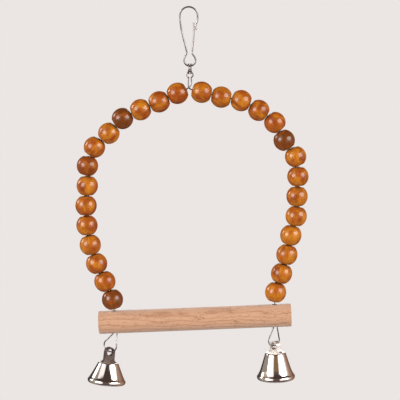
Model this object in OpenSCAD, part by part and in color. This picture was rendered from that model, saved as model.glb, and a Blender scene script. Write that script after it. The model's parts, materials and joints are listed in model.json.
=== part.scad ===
// A hanging bird swing: a wire arch of round wooden beads carries a wooden perch,
// a sprung wire hook and a link ring hang it from a cage bar, and two bells hang below.
// Millimetres, +Z up, +X to the right seen from the front, and the front is -Y.
// The origin is the inside top of the hook's bow, where the cage bar sits.

/* [Hook] */
// Thickness of the hook's wire
hook_wire = 0.9; // [0.7:0.05:1.2]
// Radius of the top bow, to the middle of the wire
bow_r = 4.9; // [4.2:0.1:6.5]
// Height from the bow's centre down to the waist
leg_h = 19.9; // [17:0.5:28]
// Width of the waist, between the middles of its two wires
waist_w = 3; // [2.4:0.1:3.8]
// Sideways set of the waist from the middle of the bow
waist_set = 0.4; // [0:0.1:1]
// Radius of the lower loop, to the middle of the wire
loop_r = 3.2; // [2.8:0.1:4.2]
// Sideways set of the lower loop, and of all that hangs from it
loop_set = 0.6; // [0:0.1:1]
// Height from the waist down to the centre of the lower loop
neck_h = 4.5; // [3.6:0.1:7]
// Height from the bow's centre down to the tip of the keeper
keeper_h = 7.8; // [6:0.1:9]
// How far the keeper bends in towards the gate
keeper_in = 1; // [0.4:0.1:1.4]
// Free gap between the closed gate and the keeper
gate_gap = 0.12; // [0.05:0.01:0.3]

/* [Link ring] */
// Thickness of the ring's wire
ring_wire = 0.8; // [0.6:0.05:0.9]
// Radius of the ring, to the middle of the wire
ring_r = 2.6; // [2.4:0.1:4]
// Distance between the middles of its two turns
ring_pitch = 1.25; // [1.22:0.01:1.35]
// Play between the ring and the hook's lower loop
ring_play = 0.15; // [0.1:0.01:0.3]

/* [Arch wires] */
// Thickness of the two wires that carry the beads
arch_wire = 0.7; // [0.6:0.05:0.9]
// Radius of each wire's eye on the ring, to the middle of the wire
eye_r = 1.75; // [1.7:0.05:2.4]
// Distance between the middles of the two eyes, front to back
eye_spread = 1.05; // [1:0.01:1.3]
// Height from the eyes' centre down to where the shanks start to cross
shank_h = 3.7; // [3:0.1:6]
// How far the left string starts out from the hanging line
left_entry_out = 1.9; // [1.2:0.1:4]
// How far the left string starts below the eyes' centre
left_entry_drop = 8; // [7:0.1:12]
// How far the right string starts out from the hanging line
right_entry_out = 1.2; // [0.8:0.1:4]
// How far the right string starts below the eyes' centre
right_entry_drop = 8.4; // [7:0.1:12]

/* [Beads] */
// Number of beads on each side
bead_count = 14; // [10:1:18]
// Diameter of a bead across its bore
bead_d = 12; // [10:0.1:14]
// Length of a bead along its bore
bead_l = 11; // [9.5:0.1:12]
// Diameter of the bore
bead_bore = 2.8; // [2.6:0.1:3.4]
// Bevel at the mouths of the bore
bore_bevel = 0.3; // [0.1:0.05:0.5]
// Gap between neighbouring beads on the wire
bead_gap = 0.22; // [0.2:0.01:0.6]

/* [Perch] */
// Diameter of the perch
perch_d = 13; // [10:0.1:16]
// Length of the perch beyond each wire hole
perch_end = 9; // [6:0.1:20]
// Diameter of the two wire holes
perch_hole = 3.2; // [2.8:0.1:4]
// Bevel on the edges of the perch's ends
perch_bevel = 0.35; // [0.2:0.05:1]
// Free wire between the last left bead and the perch
left_seat_gap = 1; // [0.9:0.1:3]
// Free wire between the last right bead and the perch
right_seat_gap = 1.5; // [0.9:0.1:3]

/* [Bell loops] */
// Distance between the middles of the two strands in a wire hole
strand_gap = 1.9; // [1.5:0.05:2.2]
// How far the end of the wire is tucked back up the hole
tuck_h = 6; // [3:0.5:9]
// Height of the left loop below the perch
left_drop_h = 10.8; // [9.5:0.1:13]
// Radius of the bottom of the left loop
left_drop_r = 3.6; // [3:0.1:4.6]
// Sideways set of the bottom of the left loop from its hole
left_drop_set = -2.9; // [-5:0.1:0]
// Height of the right loop below the perch
right_drop_h = 11; // [9.5:0.1:13]
// Radius of the bottom of the right loop
right_drop_r = 3.1; // [3:0.1:4.6]
// Sideways set of the bottom of the right loop from its hole
right_drop_set = -0.8; // [-2:0.1:2]

/* [Bells] */
// Height of the left bell's shell
left_bell_h = 12; // [11:0.1:16]
// Height of the right bell's shell
right_bell_h = 15.3; // [11:0.1:18]
// Diameter of a bell's crown
crown_d = 12; // [10:0.1:13]
// Diameter of a bell where its rim starts to flare
waist_d = 18; // [16:0.1:20]
// Diameter of a bell at its rim
rim_d = 21.8; // [20.6:0.1:24]
// Thickness of a bell's sheet
shell_wall = 0.6; // [0.4:0.05:0.9]
// Rounding of the edge of the crown
shoulder_r = 0.7; // [0.3:0.05:1.2]
// Height of the flare above the rim band
flare_h = 2.2; // [1.5:0.1:4]
// Height of the rim band
band_h = 2.8; // [0.8:0.1:3.4]
// How far the rim band stands proud of the flare
band_step = 0.3; // [0.1:0.05:0.6]
// Bevel under the rim band
band_bevel = 0.5; // [0.2:0.05:0.7]

/* [Bell hangers] */
// Depth of the hanger, along its hole
strip_w = 3; // [2.4:0.1:3.4]
// Width of the metal around the hanger's hole
strip_t = 0.9; // [0.4:0.05:1.3]
// Width of the hanger
hanger_w = 5.8; // [5.6:0.1:7]
// Height of the left hanger
left_hanger_h = 8.6; // [8:0.1:11]
// Height of the right hanger
right_hanger_h = 6.5; // [6:0.1:9]
// How far each foot of the hanger spreads on the crown
foot_l = 1.5; // [0.8:0.1:1.8]
// Height from the loop's wire up to the top of the hanger's hole
hanger_slack = 1.3; // [0.8:0.05:1.6]

/* [Clappers] */
// Thickness of the staple inside the crown
staple_wire = 0.7; // [0.5:0.05:0.8]
// Radius of the staple's bow, to the middle of the wire
staple_r = 1.1; // [1.05:0.05:1.4]
// Length of the staple's straight legs below the crown's sheet
staple_leg = 0.6; // [0.5:0.05:1]
// Thickness of the clapper's wire
clapper_wire = 0.6; // [0.4:0.05:0.65]
// Radius of the eye at the top of the clapper, to the middle of the wire
clapper_eye_r = 0.9; // [0.85:0.05:1]
// Diameter of the clapper's ball
ball_d = 5; // [4:0.1:5.5]
// Height of the ball's centre above the mouth of the bell
ball_rise = 2.6; // [2:0.1:4]
// Play of small wires in their eyes and holes
small_play = 0.05; // [0.03:0.01:0.1]

/* [Hidden] */
// Overrun of a cut past the face that it opens
over = 0.5;

// Leans of each string off the vertical, outwards, at even steps from the first bead to the perch
left_leans = [65, 67, 64, 43, 46, 21, 1, 4, -2, -9, -18, -24, -22, -8];
right_leans = [76, 80, 61, 53, 28, 35, 7, -2, -2, -15, -11, -15, -17, -4];
// Turns of the loops and of the hangers about the vertical, left and right
drop_turns = [-36, 28];
hanger_turns = [27, -46];
// Leans of the two bells as they hang: mouth towards the front, mouth to the left
bell_leans = [[-4, 6], [0, -1.5]];
// How far each bell hangs beside the lowest point of its loop, as a share of the loop's radius
bell_set_shares = [-0.12, 0.25];
// The keeper's line: share of its height, share of its bend
keeper_shares = [[0.33, 0.08], [0.46, 0.5], [0.6, 0.92], [0.74, 1], [0.88, 0.85], [1, 0.5]];
// How far the handles of the hook's leg, neck and gate reach, as shares of their heights
leg_shares = [0.36, 0.2];
neck_shares = [0.3, 0.4];
gate_shares = [0.28, 0.27];
// How far the leg's lower handle and the gate's upper handle stand out, as shares of the bow
handle_out_shares = [0.13, 0.14];

steel = [0.72, 0.72, 0.74];
nickel = [0.8, 0.78, 0.76];
bead_brown = [0.68, 0.36, 0.13];
bead_dark = [0.42, 0.24, 0.11];
beech = [0.84, 0.65, 0.5];
// The darker beads, counted from the top: two on the left and one on the right
dark_beads = [[3, 13], [5]];

wire_sides = 8;
fine = 96;
side_names = ["left", "right"];
outwards = [-1, 1];

bow_z = hook_wire / 2 - bow_r;
waist_z = bow_z - leg_h;
loop_z = waist_z - neck_h;
link_z = loop_z - loop_r;
ring_z = link_z + (hook_wire + ring_wire) / 2 + ring_play - ring_r;
waist_left = [waist_set - waist_w / 2, waist_z];
waist_right = [waist_set + waist_w / 2, waist_z];

// The eyes hang on the two turns of the ring with the ring's own play
eye_reach = eye_r - arch_wire / 2 - ring_wire / 2 - ring_play;
eye_z = ring_z - ring_r - sqrt(max(0, pow(eye_reach, 2) - pow(ring_pitch / 2, 2)));

pitch = bead_l + bead_gap;
entry_outs = [left_entry_out, right_entry_out];
entry_drops = [left_entry_drop, right_entry_drop];
seat_gaps = [left_seat_gap, right_seat_gap];
drop_hs = [left_drop_h, right_drop_h];
drop_rs = [left_drop_r, right_drop_r];
drop_sets = [left_drop_set, right_drop_set];
bell_hs = [left_bell_h, right_bell_h];
hanger_hs = [left_hanger_h, right_hanger_h];

function two_digits(n) = str(n < 10 ? "0" : "", n);
function bead_name(side, i) = str("bead_", side_names[side], "_", two_digits(i + 1));
function flat(p) = [p[0], 0, p[1]];
function unit(v) = v / norm(v);

// Points along a curve with two handles, without its first point
function curve(a, b, c, d, steps) = [
    for (k = [1 : steps])
        let (t = k / steps, u = 1 - t)
        u * u * u * a + 3 * u * u * t * b + 3 * u * t * t * c + t * t * t * d
];

// Points along an arc in the plane of the picture, both ends included
function arc(centre, r, from, to, steps) = [
    for (k = [0 : steps])
        let (a = from + (to - from) * k / steps)
        centre + r * [cos(a), sin(a)]
];

// Beads on their string: the lean between two beads, the string's heading and the beads' middles
function lean_table(side) = side == 0 ? left_leans : right_leans;
function lean_at(side, share) =
    let (table = lean_table(side), last = len(table) - 1)
    lookup(share * last, [for (k = [0 : last]) [k, table[k]]]);
function step_lean(side, i) = lean_at(side, max(0, min(1, i / (bead_count - 1))));
function bead_lean(side, i) = (step_lean(side, i - 1) + step_lean(side, i)) / 2;
function heading(side, lean) = [outwards[side] * sin(lean), -cos(lean)];
function entry(side) = [loop_set + outwards[side] * entry_outs[side], eye_z - entry_drops[side]];
function string(side) = [
    for (
        i = 0, p = entry(side) + bead_l / 2 * heading(side, bead_lean(side, 0));
        i < bead_count;
        p = p + pitch * heading(side, step_lean(side, i)), i = i + 1
    ) p
];
strings = [string(0), string(1)];

// The perch lies where the two strings end
function string_end(side) =
    let (last = bead_count - 1)
    strings[side][last] + (bead_l / 2 + seat_gaps[side]) * heading(side, step_lean(side, last));
hole_tops = [string_end(0), string_end(1)];
perch_span = hole_tops[1] - hole_tops[0];
perch_tilt = atan2(perch_span[1], perch_span[0]);
perch_along = unit(perch_span);
perch_down = [perch_along[1], -perch_along[0]];
hole_ends = [for (top = hole_tops) top + perch_d * perch_down];
perch_centre = (hole_tops[0] + hole_tops[1]) / 2 + perch_d / 2 * perch_down;
perch_l = norm(perch_span) + 2 * perch_end;

// The bells hang on the bottoms of the two loops
function drop_bottom(side) = hole_ends[side] + [drop_sets[side], -drop_hs[side]];
function bell_seat(side) =
    let (set = drop_rs[side] * bell_set_shares[side])
    turned(side, drop_bottom(side) + [set, drop_rs[side] - sqrt(pow(drop_rs[side], 2) - set * set)]);
function crown_z(side) = arch_wire / 2 + hanger_slack + strip_t - hanger_hs[side];
staple_z = -shell_wall - staple_leg - staple_r;
clapper_eye_z = staple_z + (staple_wire + clapper_wire) / 2 + small_play - clapper_eye_r;
function ball_z(side) = ball_rise - bell_hs[side];

// A closed tube along a path of points, with a flat or a domed end at each end
module tube(path, wire, toward = [0, 1, 0], domes = [false, false]) {
    last = len(path) - 1;
    r = wire / 2;
    ways = [for (i = [0 : last]) unit(path[min(i + 1, last)] - path[max(i - 1, 0)])];
    head = domes[0] ? [for (a = [75, 50, 25]) [path[0] - r * sin(a) * ways[0], ways[0], r * cos(a)]] : [];
    body = [for (i = [0 : last]) [path[i], ways[i], r]];
    tail = domes[1] ? [for (a = [25, 50, 75]) [path[last] + r * sin(a) * ways[last], ways[last], r * cos(a)]] : [];
    rings = concat(head, body, tail);
    count = len(rings);
    points = [
        for (ring = rings)
            let (across = unit(cross(toward, ring[1])), rise = cross(ring[1], across))
            for (k = [0 : wire_sides - 1])
                let (a = 360 * k / wire_sides)
                ring[0] + ring[2] * (cos(a) * across + sin(a) * rise)
    ];
    walls = [
        for (i = [0 : count - 2], k = [0 : wire_sides - 1], half = [0, 1])
            let (
                a = i * wire_sides + k,
                b = i * wire_sides + (k + 1) % wire_sides,
                c = a + wire_sides,
                d = b + wire_sides
            )
            half == 0 ? [a, b, d] : [a, d, c]
    ];
    first_end = [for (k = [1 : wire_sides - 2]) [0, k + 1, k]];
    base = (count - 1) * wire_sides;
    last_end = [for (k = [1 : wire_sides - 2]) [base, base + k, base + k + 1]];
    polyhedron(points = points, faces = [for (f = concat(walls, first_end, last_end)) [f[0], f[2], f[1]]]);
}

// The hook: keeper, bow, left leg, waist and lower loop are one bent wire
gate_pivot = waist_right;
hook_line = concat(
    [for (k = [len(keeper_shares) - 1 : -1 : 0])
        [bow_r - keeper_in * keeper_shares[k][1], bow_z - keeper_h * keeper_shares[k][0]]],
    arc([0, bow_z], bow_r, 0, 180, 24),
    curve(
        [-bow_r, bow_z],
        [-bow_r, bow_z - leg_h * leg_shares[0]],
        waist_left + [-bow_r * handle_out_shares[0], leg_h * leg_shares[1]],
        waist_left,
        14
    ),
    curve(
        waist_left,
        waist_left - [0, neck_h * neck_shares[0]],
        [loop_set - loop_r, loop_z + neck_h * neck_shares[1]],
        [loop_set - loop_r, loop_z],
        6
    ),
    [for (k = [1 : 18]) [loop_set, loop_z] + loop_r * [cos(180 + 10 * k), sin(180 + 10 * k)]],
    curve(
        [loop_set + loop_r, loop_z],
        [loop_set + loop_r, loop_z + neck_h * neck_shares[1]],
        waist_right - [0, neck_h * neck_shares[0]],
        waist_right - [0, hook_wire / 2 + small_play],
        6
    )
);

module hook() {
    color(steel) tube([for (p = hook_line) flat(p)], hook_wire);
}

// The gate: the springy leg that closes the hook against the keeper
gate_tip = [
    bow_r - keeper_in - hook_wire - gate_gap - hook_wire / 4,
    bow_z - keeper_h * keeper_shares[1][0]
];
gate_h = gate_tip[1] - gate_pivot[1];

module hook_gate() {
    line = concat(
        [gate_pivot],
        curve(
            gate_pivot,
            gate_pivot + [waist_w / 8, gate_h * gate_shares[0]],
            gate_tip + [bow_r * handle_out_shares[1], -gate_h * gate_shares[1]],
            gate_tip,
            14
        )
    );
    color(steel) tube([for (p = line) flat(p)], hook_wire, domes = [true, true]);
}

// The link ring: one wire in two flat turns, which cross over behind
cross_half = 30;
ring_rest = 45;
function ring_set(a) = ring_pitch * (max(0, min(1, (a - 360 + cross_half) / (2 * cross_half))) - 0.5);
ring_line = [
    for (a = [ring_rest : 9 : 720 - ring_rest])
        [loop_set + ring_set(a), ring_r * cos(a), ring_z + ring_r * sin(a)]
];
ring_gaps = [
    for (i = [0 : len(ring_line) - 1], j = [0 : len(ring_line) - 1])
        if (j - i > 12) norm(ring_line[i] - ring_line[j]) - ring_wire
];
echo(link_ring_least_gap = min(ring_gaps));

module link_ring() {
    color(steel) tube(ring_line, ring_wire, toward = [1, 0, 0]);
}

// The two arch wires: an eye on the ring, a shank that crosses its neighbour, the string of
// beads, the perch's hole, a loop for the bell, and the end tucked back up the hole
eye_steps = 22;
function eye_line(side) = [
    for (k = [0 : eye_steps])
        let (a = -75 + 310 * k / eye_steps)
        [loop_set - outwards[side] * eye_r * -cos(a), eye_z + eye_r * sin(a)]
];
function shank(side) =
    let (
        tail = eye_line(side),
        start = tail[len(tail) - 1],
        foot = [loop_set - outwards[side] * eye_r / 2, eye_z - shank_h],
        mouth = entry(side),
        pull = (entry_drops[side] - shank_h) / 2
    )
    concat(
        curve(start, start + [outwards[side], -1] * eye_r / 4, foot + [0, eye_r / 2], foot, 4),
        curve(foot, foot - [0, pull], mouth - pull * heading(side, bead_lean(side, 0)), mouth, 8)
    );
function threaded(side) = [
    for (i = [0 : bead_count - 2])
        let (
            a = strings[side][i],
            d = strings[side][i + 1],
            reach = pitch / 3,
            line = curve(
                a,
                a + reach * heading(side, bead_lean(side, i)),
                d - reach * heading(side, bead_lean(side, i + 1)),
                d,
                4
            )
        )
        each line
];
function into_perch(side) =
    let (
        last = bead_count - 1,
        a = strings[side][last],
        top = hole_tops[side],
        reach = norm(top - a) / 3
    )
    concat(
        curve(a, a + reach * heading(side, bead_lean(side, last)), top - reach * perch_down, top, 4),
        curve(
            top,
            top + perch_d / 3 * perch_down,
            strand_foot(side, -1) - perch_d / 3 * perch_down,
            strand_foot(side, -1),
            4
        )
    );
function strand_foot(side, way) = hole_ends[side] - way * outwards[side] * strand_gap / 2 * perch_along;

// The bell loop, seen square on: two straight strands that run onto a round bottom
drop_steps = 20;
function drop_line(side) =
    let (
        r = drop_rs[side],
        centre = drop_bottom(side) + [0, r],
        a = strand_foot(side, -1) - centre,
        b = strand_foot(side, 1) - centre,
        way = outwards[side],
        from = atan2(a[1], a[0]) - way * acos(r / norm(a)),
        to = atan2(b[1], b[0]) + way * acos(r / norm(b)) - way * 360
    )
    [for (k = [0 : drop_steps]) centre + r * [cos(from + (to - from) * k / drop_steps), sin(from + (to - from) * k / drop_steps)]];
// Each loop slants from front to back as it comes down, and keeps its outline from the front
function turned(side, p) =
    let (
        down = (hole_ends[side][1] - p[1]) / (drop_hs[side] - drop_rs[side]),
        share = max(0, min(1, down)),
        middle = hole_ends[side][0] + drop_sets[side] * share
    )
    [p[0], (p[0] - middle) * tan(drop_turns[side] * share), p[1]];
function bell_loop(side) =
    let (
        round = drop_line(side),
        start = strand_foot(side, -1),
        stop = strand_foot(side, 1),
        down = [for (k = [1 : 3]) start + (round[0] - start) * k / 4],
        up = [for (k = [1 : 4]) round[drop_steps] + (stop - round[drop_steps]) * k / 4]
    )
    concat(
        [for (p = concat(down, round, up)) turned(side, p)],
        [flat(stop - tuck_h / 2 * perch_down), flat(stop - tuck_h * perch_down)]
    );

// The eyes lie one behind the other, and the wires come together by the first bead
function set_back(side, line) = [
    for (k = [0 : len(line) - 1])
        let (share = min(1, max(0, (line[k][1] - strings[side][0][1]) / (entry_drops[side] / 2))))
        [line[k][0], outwards[side] * eye_spread / 2 * share, line[k][1]]
];

module arch_wire_on(side) {
    top = set_back(side, concat(eye_line(side), shank(side)));
    string_part = [for (p = concat([strings[side][0]], threaded(side), into_perch(side))) flat(p)];
    color(steel) tube(concat(top, string_part, bell_loop(side)), arch_wire);
}

// A bead: round, a little shorter than it is wide, with a bevelled bore
module bead(side, i) {
    p = strings[side][i];
    r = bead_l / 2;
    bore_r = bead_bore / 2;
    set = (bead_d - bead_l) / 2;
    mouth = sqrt(r * r - pow(bore_r - set, 2));
    dark = len(search(i, dark_beads[side])) > 0;
    color(dark ? bead_dark : bead_brown)
        translate(flat(p))
        rotate([0, -outwards[side] * bead_lean(side, i), 0])
        rotate_extrude($fn = fine)
        difference() {
            translate([set, 0]) circle(r, $fn = fine);
            translate([-bead_d, -bead_d]) square([bead_d + bore_r, 2 * bead_d]);
            for (way = [-1, 1])
                polygon([
                    [0, way * (mouth - bore_bevel)],
                    [bore_r, way * (mouth - bore_bevel)],
                    [bore_r + bore_bevel + over, way * (mouth + over)],
                    [0, way * (mouth + over)]
                ]);
        }
}

// The perch: a round rod with two wire holes across it
module perch() {
    color(beech)
        translate(flat(perch_centre))
        rotate([0, -perch_tilt, 0])
        difference() {
            rotate([0, 90, 0]) rotate_extrude($fn = fine) polygon([
                [0, -perch_l / 2],
                [perch_d / 2 - perch_bevel, -perch_l / 2],
                [perch_d / 2, perch_bevel - perch_l / 2],
                [perch_d / 2, perch_l / 2 - perch_bevel],
                [perch_d / 2 - perch_bevel, perch_l / 2],
                [0, perch_l / 2]
            ]);
            for (way = outwards)
                translate([way * norm(perch_span) / 2, 0, 0])
                cylinder(d = perch_hole, h = perch_d + 2 * over, center = true, $fn = fine);
        }
}

// All of a bell stands in its own frame, with the loop's wire at the origin
module bell_frame(side) {
    translate(bell_seat(side))
        rotate([bell_leans[side][0], bell_leans[side][1], 0])
        rotate([0, 0, hanger_turns[side]])
        children();
}

// The hanger: a tab with a round top and a round hole, on a wider foot on the crown
module hanger(side) {
    h = hanger_hs[side];
    outer_r = hanger_w / 2;
    inner_r = outer_r - strip_t;
    color(nickel)
        bell_frame(side)
        translate([0, 0, crown_z(side)])
        rotate([90, 0, 0])
        linear_extrude(strip_w, center = true)
        difference() {
            polygon(concat(
                [
                    [-outer_r, strip_t / 4 + foot_l],
                    [-outer_r - foot_l, strip_t / 4],
                    [-outer_r - foot_l, 0],
                    [outer_r + foot_l, 0],
                    [outer_r + foot_l, strip_t / 4],
                    [outer_r, strip_t / 4 + foot_l]
                ],
                arc([0, h - outer_r], outer_r, 0, 180, fine / 2)
            ));
            translate([0, h - outer_r]) circle(inner_r, $fn = fine);
        }
}

// The shell: a flat crown, a plain cone, a flare and a band round the rim
function shell_outline(side) =
    let (
        h = bell_hs[side],
        crown_r = crown_d / 2,
        waist_r = waist_d / 2,
        rim_r = rim_d / 2,
        cone_h = h - flare_h - band_h
    )
    concat(
        [for (a = [90 : -30 : 0]) [crown_r - shoulder_r + shoulder_r * cos(a), shoulder_r * sin(a) - shoulder_r]],
        [
            [waist_r, -cone_h],
            [rim_r - band_step, band_h - h],
            [rim_r, band_h - h],
            [rim_r, band_bevel - h],
            [rim_r - band_bevel, -h],
            [rim_r - shell_wall - band_step, -h],
            [rim_r - shell_wall - band_step, band_h - h],
            [waist_r - shell_wall, -cone_h],
            [crown_r - shell_wall, -shoulder_r - shell_wall]
        ]
    );

module bell_shell(side) {
    color(nickel)
        bell_frame(side)
        translate([0, 0, crown_z(side)])
        difference() {
            rotate_extrude($fn = fine)
                polygon(concat([[0, 0]], shell_outline(side), [[crown_d / 2 - shell_wall - shoulder_r, -shell_wall], [0, -shell_wall]]));
            for (way = [-1, 1])
                translate([way * staple_r, 0, -shell_wall / 2])
                cylinder(d = staple_wire + 2 * small_play, h = shell_wall + 2 * over, center = true, $fn = fine);
        }
}

// The staple: a small bow of wire whose legs pass through the crown
module staple(side) {
    leg_l = staple_leg + shell_wall;
    color(steel)
        bell_frame(side)
        translate([0, 0, crown_z(side) - leg_l])
        union() {
            rotate([-90, 0, 0]) rotate_extrude(angle = 180, $fn = fine)
                translate([staple_r, 0]) circle(d = staple_wire, $fn = fine);
            for (way = [-1, 1])
                translate([way * staple_r, 0, 0]) cylinder(d = staple_wire, h = leg_l, $fn = fine);
        }
}

// The clapper's rod: an eye on the staple and a straight wire down into the ball
module clapper_rod(side) {
    bottom = ball_z(side);
    top = clapper_eye_z - clapper_eye_r;
    color(steel)
        bell_frame(side)
        translate([0, 0, crown_z(side)])
        union() {
            translate([0, 0, clapper_eye_z]) rotate([90, 0, 90]) rotate_extrude($fn = fine)
                translate([clapper_eye_r, 0]) circle(d = clapper_wire, $fn = fine);
            translate([0, 0, bottom]) cylinder(d = clapper_wire, h = top - bottom, $fn = fine);
        }
}

// The clapper's ball, bored from above for the rod
module clapper_ball(side) {
    color(nickel)
        bell_frame(side)
        translate([0, 0, crown_z(side) + ball_z(side)])
        rotate_extrude($fn = fine)
        difference() {
            circle(d = ball_d, $fn = fine);
            translate([-ball_d, -ball_d]) square([ball_d, 2 * ball_d]);
            translate([-over, 0]) square([clapper_wire / 2 + small_play + over, ball_d]);
        }
}

hook();
hook_gate();
link_ring();
arch_wire_on(0);  // wire_left
arch_wire_on(1);  // wire_right
perch();
for (side = [0, 1], i = [0 : bead_count - 1])
    bead(side, i);
bell_shell(0);  // bell_left_shell
hanger(0);  // bell_left_hanger
staple(0);  // bell_left_staple
clapper_rod(0);  // clapper_left_rod
clapper_ball(0);  // clapper_left_ball
bell_shell(1);  // bell_right_shell
hanger(1);  // bell_right_hanger
staple(1);  // bell_right_staple
clapper_rod(1);  // clapper_right_rod
clapper_ball(1);  // clapper_right_ball
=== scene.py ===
"""A hanging bird swing: a sprung hook, a link ring, two wires with 28 wooden beads, a perch and two bells.

Sizes are in metres, +Z is up, +X is to the right seen from the front, and the front is -Y.
The origin is the inside top of the hook's bow.
"""

import json
from functools import cache
from math import acos, atan2, cos, degrees, pi, radians, sin, tan

import bpy
from bpy.props import FloatProperty, FloatVectorProperty, PointerProperty
from mathutils import Matrix, Vector


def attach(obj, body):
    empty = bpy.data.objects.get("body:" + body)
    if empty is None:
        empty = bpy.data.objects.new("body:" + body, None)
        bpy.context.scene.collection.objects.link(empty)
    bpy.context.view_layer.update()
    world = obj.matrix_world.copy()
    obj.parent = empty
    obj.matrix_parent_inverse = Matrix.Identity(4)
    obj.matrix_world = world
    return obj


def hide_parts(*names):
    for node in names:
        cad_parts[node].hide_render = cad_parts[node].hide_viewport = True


bl_info = {
    "name": "Bird Swing",
    "version": (1, 0, 0),
    "blender": (4, 5, 0),
    "location": "View3D > Sidebar > Swing",
    "description": "Builds a wooden bird swing with bells, and the studio it hangs in",
    "category": "Add Mesh",
}

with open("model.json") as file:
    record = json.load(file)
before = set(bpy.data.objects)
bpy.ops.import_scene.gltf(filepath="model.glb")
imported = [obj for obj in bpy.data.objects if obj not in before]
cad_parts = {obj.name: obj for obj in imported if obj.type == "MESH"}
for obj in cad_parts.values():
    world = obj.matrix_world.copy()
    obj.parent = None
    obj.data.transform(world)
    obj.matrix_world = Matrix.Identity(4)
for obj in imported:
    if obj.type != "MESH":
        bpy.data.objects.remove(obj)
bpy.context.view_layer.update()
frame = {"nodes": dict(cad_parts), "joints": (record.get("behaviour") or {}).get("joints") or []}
JOINTS = {joint["name"]: joint for joint in frame["joints"]}

MM = 0.001
SIDES = ("left", "right")
OUTWARDS = {"left": -1, "right": 1}
BEADS = sum(name.startswith("bead_left_") for name in frame["nodes"])

# The beads are turned one after another from one rod: the length of rod for each in millimetres,
# and how far the rod turns in radians from one to the next
BLANK = 31
BLANK_TURN = 2.4

# How light each bead is, from the top bead down: 0 is the darkest stain, 1 the most golden
TONES = {
    "left": (0.5, 0.6, 0.75, 0.05, 0.75, 0.5, 0.2, 0.55, 0.55, 0.5, 0.75, 0.55, 0.6, 0.1),
    "right": (0.5, 0.5, 0.75, 0.55, 0.5, 0.05, 0.6, 0.6, 0.7, 0.9, 1, 0.9, 0.6, 0.8),
}

# Beads under this tone are stained dark all over
STAINED = 0.2

# Each lamp's turn to the right of the camera and its height in degrees, its width and height as
# shares of its distance, its power in watts, and whether metal and varnish mirror it
LAMPS = {
    "lamp_left": (-51, 15, 0.66, 0.6, 12, True),
    "lamp_right": (57, 22, 0.82, 0.66, 14, True),
    "lamp_behind": (-108, 20, 0.3, 0.4, 3.5, True),
    "lamp_below": (0, -50, 1, 0.8, 5, False),
}
LAMP_TINT = (1, 0.96, 0.92)

# The room that metal and varnish mirror, in linear light
ROOM = {
    "wall": (0.11, 0.08, 0.08),
    "wall_band": (0.26, 0.16, 0.085),
    "right_wall": (0.42, 0.26, 0.18),
    "right_corner": (0.16, 0.085, 0.06),
    "left_wall": (0.34, 0.3, 0.25),
    "left_corner": (0.06, 0.045, 0.04),
    "left_patch": (0.7, 0.63, 0.61),
    "screen": (1.15, 1.1, 1.07),
    "ceiling": (0.07, 0.045, 0.04),
    "behind": (0.75, 0.72, 0.71),
    "behind_high": (1.5, 1.45, 1.42),
}


def length(label, description, mm):
    """A length in metres, given in millimetres."""
    return FloatProperty(name=label, description=description, default=mm * MM, unit="LENGTH", precision=5)


def pair(label, description, left, right, **options):
    """A value for each side."""
    return FloatVectorProperty(
        name=label, description=description, size=2, default=(left, right), **options
    )


def lengths(label, description, left, right):
    """A length for each side, in metres, given in millimetres."""
    return pair(label, description, left * MM, right * MM, unit="LENGTH", precision=5)


def angles(label, description, left, right):
    """An angle for each side, in radians, given in degrees."""
    return pair(label, description, radians(left), radians(right), unit="ROTATION")


def colour(label, description, red, green, blue):
    """A colour in linear light."""
    return FloatVectorProperty(
        name=label,
        description=description,
        size=3,
        default=(red, green, blue),
        min=0,
        max=1,
        subtype="COLOR",
    )


class HookSizes(bpy.types.PropertyGroup):
    """The sprung hook and its gate."""

    wire: length("Wire", "Thickness of the hook's wire", 0.9)
    bow_r: length("Bow radius", "Radius of the top bow, to the middle of the wire", 4.9)
    leg_h: length("Leg height", "Height from the bow's centre down to the waist", 19.9)
    waist_w: length("Waist width", "Width of the waist, between the middles of its wires", 3)
    waist_set: length("Waist set", "Sideways set of the waist from the middle of the bow", 0.4)
    loop_r: length("Loop radius", "Radius of the lower loop, to the middle of the wire", 3.2)
    loop_set: length("Loop set", "Sideways set of the lower loop", 0.6)
    neck_h: length("Neck height", "Height from the waist down to the centre of the lower loop", 4.5)
    keeper_h: length("Keeper height", "Height from the bow's centre down to the tip of the keeper", 7.8)
    keeper_in: length("Keeper bend", "How far the keeper bends in towards the gate", 1)
    gate_gap: length("Gate gap", "Free gap between the closed gate and the keeper", 0.12)
    play: length("Play", "Gap between the end of the loop and the gate", 0.05)


class RingSizes(bpy.types.PropertyGroup):
    """The link ring."""

    wire: length("Wire", "Thickness of the ring's wire", 0.8)
    radius: length("Radius", "Radius of the ring, to the middle of the wire", 2.6)
    pitch: length("Pitch", "Distance between the middles of its two turns", 1.25)
    play: length("Play", "Play between the ring and the hook's loop", 0.15)


class WireSizes(bpy.types.PropertyGroup):
    """The two wires of the arch."""

    wire: length("Wire", "Thickness of the two wires", 0.7)
    eye_r: length("Eye radius", "Radius of each eye, to the middle of the wire", 1.75)
    eye_spread: length("Eye spread", "Distance between the two eyes, front to back", 1.05)
    shank_h: length("Shank height", "Height from the eyes down to where the wires cross", 3.7)
    entry_out: lengths("Entry out", "How far each string starts out from the middle", 1.9, 1.2)
    entry_drop: lengths("Entry drop", "How far each string starts below the eyes", 8, 8.4)
    last_lean: angles("Last lean", "Lean of each string where it goes into the perch", -8, -4)
    seat_gap: lengths("Seat gap", "Free wire between the last bead and the perch", 1, 1.5)
    strand_gap: length("Strand gap", "Distance between the two strands in a hole of the perch", 1.9)
    tuck_h: length("Tuck", "How far the end of the wire is tucked back up the hole", 6)
    drop_h: lengths("Loop height", "Height of each bell loop below the perch", 10.8, 11)
    drop_r: lengths("Loop radius", "Radius of the bottom of each bell loop", 3.6, 3.1)
    drop_set: lengths("Loop set", "Sideways set of the bottom of each bell loop", -2.9, -0.8)
    drop_turn: angles("Loop turn", "Turn of each bell loop about the vertical", -36, 28)


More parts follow.
